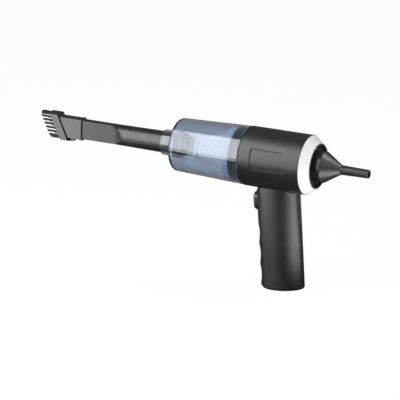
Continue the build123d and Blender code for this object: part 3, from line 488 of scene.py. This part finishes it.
dress(
    turned("blow_funnel", [
        (plug_end, plug_bore, 0.3), (plug_end, plug_radius, 0.4),
        (funnel_foot, plug_radius, 0), (funnel_foot, funnel_radius, 0.3),
        (funnel_bend, funnel_radius, 1.5), (tube_root, 4.7, 1.2),
        (tube_mouth, 4.1, 0.25), (tube_mouth, tube_bore, 0.2),
        (tube_root, tube_bore, 1.0), (funnel_bend, plug_bore, 1.0),
    ]),
    "blow_nozzle", "blower", "nozzle_abs", "funnel_abs",
)


# Brush: the bristles' backing and their tufts, leaned as the mouth is
mouth_lean = math.tan(math.radians(26))


def flat_ring(radius, half_width, station, steps=28):
    """Points of a circle with a flat on each side, on the leaned plane through a station."""
    corner = math.asin(half_width / radius)
    ring = []
    for middle in (math.pi / 2, 3 * math.pi / 2):
        for step in range(steps + 1):
            turn = middle + corner * (1 - 2 * step / steps)
            across, height = radius * math.cos(turn), radius * math.sin(turn)
            ring.append(on_barrel(station - mouth_lean * height, across, height))
    return ring


backing_rear, backing_bevel, backing_front = -241.7, -243.1, -243.3
dress(
    skin("brush_backing", [
        # Radius, half width of the flats and station of each ring, outside and then inside
        flat_ring(13.2, 6.1, backing_rear), flat_ring(13.2, 6.1, backing_bevel),
        flat_ring(13.0, 5.9, backing_front), flat_ring(10.55, 4.65, backing_front),
        flat_ring(10.35, 4.45, backing_bevel), flat_ring(10.35, 4.45, backing_rear),
    ]),
    "brush_bristles", "brush", "bristle_nylon",
)


def strand(mesh, root, tip, bow, thickness, thinned=0.3, sides=5, steps=5):
    """A filament from root to tip in millimetres, bowed, and thinned by a share at its end."""
    rows = []
    for step in range(steps + 1):
        part = step / steps
        middle = root.lerp(tip, part) + bow * math.sin(math.pi * part)
        radius = thickness / 2 * (1 - thinned * part ** 3)
        rows.append([
            mesh.verts.new(on_barrel(
                middle.x,
                middle.y + radius * math.cos(math.tau * side / sides),
                middle.z + radius * math.sin(math.tau * side / sides),
            ))
            for side in range(sides)
        ])
    for near, far in zip(rows, rows[1:]):
        for side in range(sides):
            after = (side + 1) % sides
            mesh.faces.new((near[side], near[after], far[after], far[side]))
    mesh.faces.new(rows[0])
    mesh.faces.new(reversed(rows[-1]))


filament_root, filament_pitch, filament_length, filament_thickness = -242.9, 0.33, 12.0, 0.3
# No two filaments are alike: how much shorter or longer, how far off at the tip, how bowed
shorter, longer, astray, bowed = -0.5, 0.25, 0.14, 0.12
# A place in the grid this far out, as a share of the grid, has no filament, so the hole is round
hole_share = 0.54


def tuft(mesh, columns, rows, height, across, splay):
    """A bundle of filaments set in a hole of the backing and fanning out towards their tips.
    One at the backing's end, square to the others, follows its round."""
    for row in range(rows):
        for column in range(columns):
            up = (row - (rows - 1) / 2) * filament_pitch
            out = (column - (columns - 1) / 2) * filament_pitch
            if math.hypot(up / rows, out / columns) > hole_share * filament_pitch:
                continue
            if not across:
                up -= math.copysign(abs(height) - math.sqrt(height ** 2 - out ** 2), height)
            root = Vector((
                filament_root - mouth_lean * (height + up), across + out, height + up
            ))
            reach = filament_length + draw.uniform(shorter, longer)
            tip = root + Vector((
                -reach,
                out * splay + draw.uniform(-astray, astray),
                up * splay + draw.uniform(-astray, astray),
            ))
            bow = Vector((0, draw.uniform(-bowed, bowed), draw.uniform(-bowed, bowed)))
            strand(mesh, root, tip, bow, filament_thickness)


# Six tufts along each flat of the backing, and a wide one at its top and at its foot
flat_tufts, tuft_pitch, flat_middle, end_middle = 6, 3.6, 5.275, 11.775
filaments = bmesh.new()
for number in range(flat_tufts):
    tuft_height = (number - (flat_tufts - 1) / 2) * tuft_pitch
    for tuft_side in (-flat_middle, flat_middle):
        tuft(filaments, 5, 6, height=tuft_height, across=tuft_side, splay=0.12)
for tuft_height in (-end_middle, end_middle):
    tuft(filaments, 26, 7, height=tuft_height, across=0, splay=0.1)
filaments = finished("brush_filaments", filaments, sharp=60)
filaments.data.materials.append(finishes["bristle_nylon"])
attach(filaments, "brush")

# The brush collar's own finish, in place of its slot's
for place in frame["nodes"]["brush_collar"].material_slots:
    place.material = finishes["collar_abs"]


# Light: a tall softbox at the front left, a small one at the right and a high one at the
# right rear. The camera looks down, so upright walls mirror what is low. Lit boards near the
# floor give them their highlights.

def lit_panel(name, width, height, radiance, location, rotation):
    """A lit rectangle in metres that the camera doesn't see. Its power goes with its area, so
    that its radiance is what the call says."""
    data = bpy.data.lights.new(name, "AREA")
    data.shape = "RECTANGLE"
    data.size, data.size_y = width, height
    data.energy = radiance * math.pi * width * height
    panel = bpy.data.objects.new(name, data)
    panel.location, panel.rotation_euler = location, rotation
    panel.visible_camera = False
    bpy.context.scene.collection.objects.link(panel)


def away(azimuth, distance, height):
    """A point this far from the upright axis. Azimuth turns from -Y towards +X, in degrees."""
    turn = math.radians(azimuth)
    return Vector((math.sin(turn) * distance, -math.cos(turn) * distance, height))


def softbox(name, azimuth, distance, width, bottom, height, radiance):
    """A softbox that stands upright and faces the object."""
    place = away(azimuth, distance, bottom + height / 2)
    facing = Vector((place.x, place.y, 0)).to_track_quat("Z", "Y").to_euler()
    lit_panel(name, width, height, radiance, place, facing)


softbox("left_softbox", -50, 1.3, width=1.4, bottom=0.0, height=2.6, radiance=3.1)
softbox("right_softbox", 76, 0.48, width=0.34, bottom=0.02, height=0.6, radiance=1.2)
softbox("rear_softbox", 124, 0.4, width=0.5, bottom=0.62, height=0.9, radiance=4.8)

BOARD_HEIGHT = 0.004


def low_board(name, azimuth, near, far, width, radiance):
    """A lit board that lies just over the floor, between two distances, and faces up."""
    place = away(azimuth, (near + far) / 2, BOARD_HEIGHT)
    lit_panel(name, width, far - near, radiance, place, (math.pi, 0, math.radians(azimuth)))


low_board("nozzle_board", -42, near=0.62, far=1.0, width=0.46, radiance=2.45)
low_board("handle_board", -70, near=0.3, far=1.0, width=0.3, radiance=1.0)
low_board("side_board", 66, near=0.1, far=0.47, width=0.23, radiance=2.8)
low_board("rear_board", 155, near=0.3, far=0.6, width=0.3, radiance=0.9)

# What a ray has been through is added up: 1 for each turn off a glossy surface, MATT_TURN
# for one off a matt surface, and CROSSING for each time it crosses clear plastic. From
# TURNED on it is light off a surface, and no longer the camera's own.
MATT_TURN, CROSSING, TURNED = 2.0, 0.25, 1.6
# A turn inside the cup's wall takes this share of the ray
WALL_TURN_LOSS = 0.35


def shown(tree):
    """How much of a ray is the camera's own, straight or through the cup, and not light off
    a surface, and whether the ray is a glossy one. One turn inside the cup's wall is let pass
    in part: it has two crossings, and a turn off what lies in the cup has four."""
    rays = add_node(tree, "ShaderNodeLightPath").outputs
    straight = add_node(
        tree, "ShaderNodeMath", {0: rays["Is Camera Ray"], 1: rays["Is Transmission Ray"]},
        operation="MAXIMUM",
    )
    turns = add_node(
        tree, "ShaderNodeMath",
        {0: rays["Diffuse Depth"], 1: MATT_TURN, 2: rays["Glossy Depth"]},
        operation="MULTIPLY_ADD",
    )
    turns = add_node(
        tree, "ShaderNodeMath",
        {0: rays["Transmission Depth"], 1: CROSSING, 2: turns.outputs[0]},
        operation="MULTIPLY_ADD",
    )
    unturned = add_node(
        tree, "ShaderNodeMath", {0: turns.outputs[0], 1: TURNED}, operation="LESS_THAN"
    )
    passed = add_node(
        tree, "ShaderNodeMath", {0: rays["Glossy Depth"], 1: -WALL_TURN_LOSS, 2: 1.0},
        operation="MULTIPLY_ADD",
    )
    own = straight
    for factor in (unturned, passed):
        own = add_node(
            tree, "ShaderNodeMath", {0: own.outputs[0], 1: factor.outputs[0]},
            operation="MULTIPLY",
        )
    return own.outputs[0], rays["Is Glossy Ray"]


# Room: white where the camera sees it, dim on the object and dimmer in its gloss
ROOM_LIGHT, ROOM_IN_GLOSS, ROOM_SEEN = 0.3, 0.09, 1.0
world = bpy.data.worlds.new("white_room")
bpy.context.scene.world = world
world.use_nodes = True
tree = world.node_tree
seen, glossy = shown(tree)
lit = add_node(tree, "ShaderNodeMix", {0: glossy, 2: ROOM_LIGHT, 3: ROOM_IN_GLOSS})
strength = add_node(tree, "ShaderNodeMix", {0: seen, 2: lit.outputs[0], 3: ROOM_SEEN})
tree.nodes["Background"].inputs["Color"].default_value = (1, 1, 1, 1)
tree.links.new(strength.outputs[0], tree.nodes["Background"].inputs["Strength"])

# Floor: pale uncoated paper. The camera sees mostly white, and the rest is the paper with the
# object's soft shadow on it. In reflections it is painted a dark grey: a dim fixed glow stands
# in for shade on it, in place of the lit paper.
PAPER_SEEN, PAPER_PAINTED_IN_GLOSS, WHITE_SHARE = 1.02, 0.05, 0.93
paper, tree, shader = new_material("white_paper", "#e6e6e6", 0.9, Specular_IOR_Level=0.1)
glow = add_node(tree, "ShaderNodeEmission", {"Color": (1, 1, 1, 1), "Strength": PAPER_SEEN})
# Painted shade: in reflections the paper is this dim fixed glow, not its lit colour
painted_gloss_shade = add_node(tree, "ShaderNodeEmission", {"Color": (1, 1, 1, 1), "Strength": PAPER_PAINTED_IN_GLOSS})
seen, glossy = shown(tree)
share = add_node(tree, "ShaderNodeMath", {0: seen, 1: WHITE_SHARE}, operation="MULTIPLY")
mixed = add_node(
    tree, "ShaderNodeMixShader", {0: glossy, 1: shader.outputs[0], 2: painted_gloss_shade.outputs[0]}
)
mixed = add_node(
    tree, "ShaderNodeMixShader", {0: share.outputs[0], 1: mixed.outputs[0], 2: glow.outputs[0]}
)
tree.links.new(mixed.outputs[0], tree.nodes["Material Output"].inputs["Surface"])
floor_mesh = bmesh.new()
bmesh.ops.create_grid(floor_mesh, x_segments=1, y_segments=1, size=14)
floor = finished("floor", floor_mesh)
# A hair under the object, so that the two never share a plane
floor.location.z = -0.0002
floor.data.materials.append(paper)
